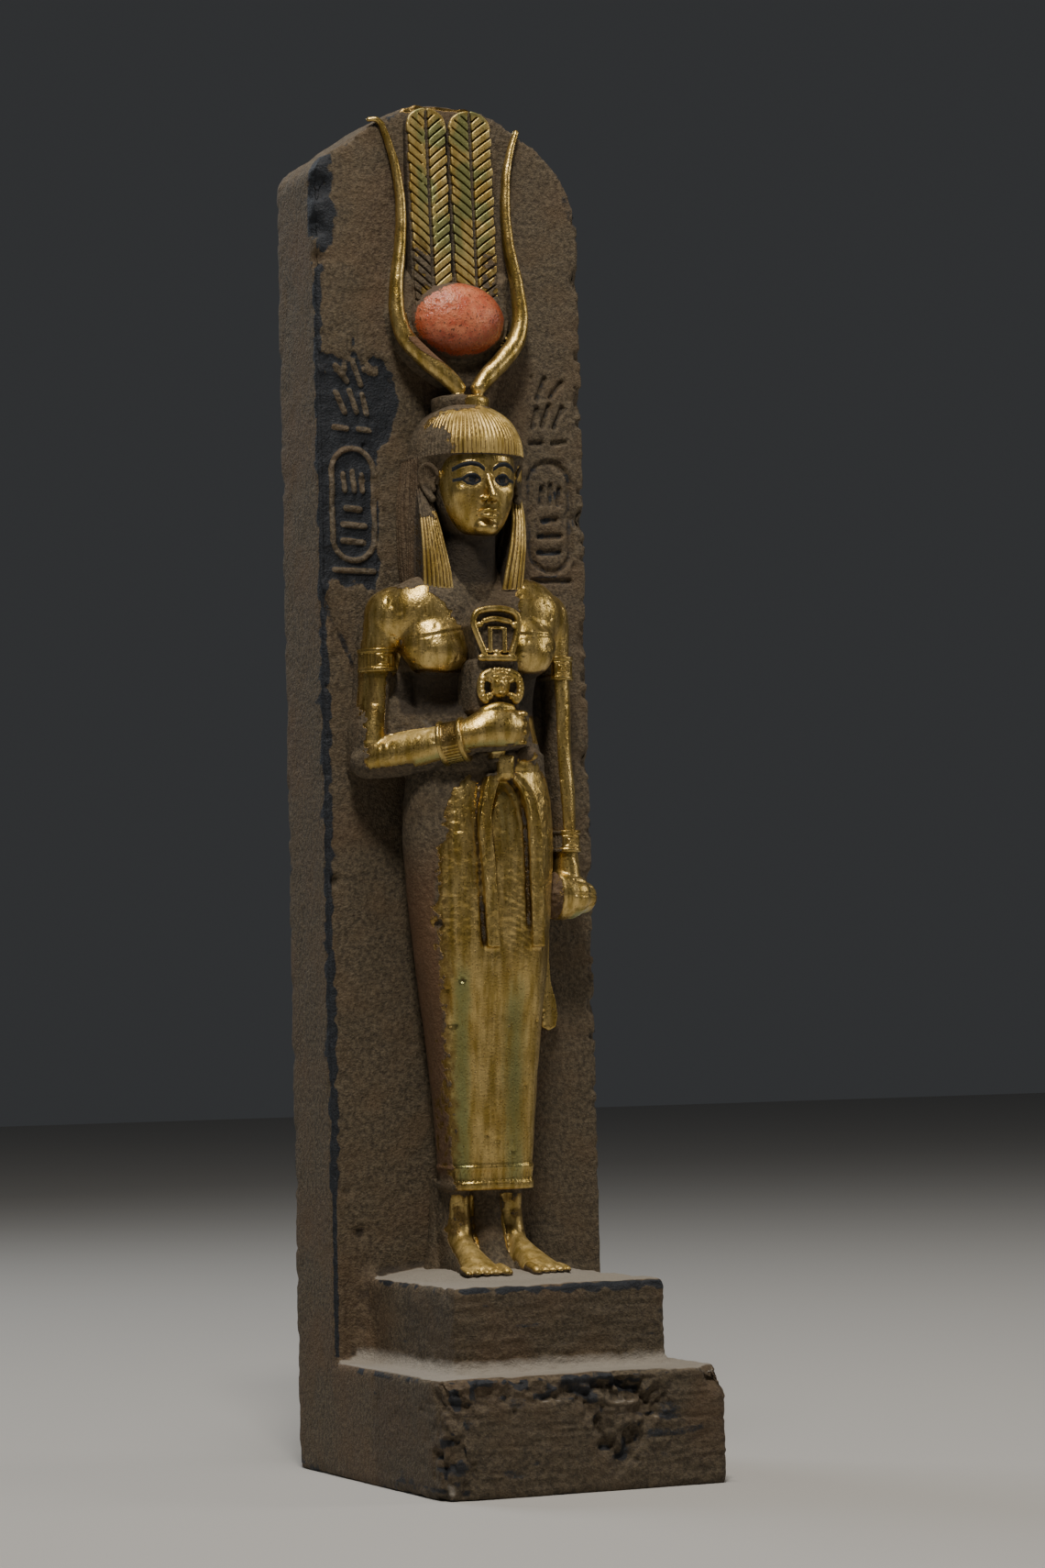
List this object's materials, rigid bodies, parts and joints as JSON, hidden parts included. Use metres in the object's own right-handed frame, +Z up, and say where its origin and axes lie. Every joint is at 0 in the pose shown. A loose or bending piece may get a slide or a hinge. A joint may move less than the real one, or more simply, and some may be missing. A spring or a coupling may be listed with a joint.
{
  "type": "stele statuette of a standing goddess",
  "caption": "Round-topped slab on a stepped base, with a standing goddess in high relief: long wig, horned sun disc, tall plumes, sistrum and sheath dress.",
  "frame": {"origin": "middle of the base's underside", "axes": "+Z up, the figure faces -Y, +X is the side of its hanging arm"},
  "size_m": [0.064, 0.082, 0.3],
  "materials": {
    "gilded_stone": "dark brown painted cast stone with worn gold leaf on the figure"
  },
  "bodies": {
    "root": {"hathor_statue": "gilded_stone"}
  },
  "joints": []
}
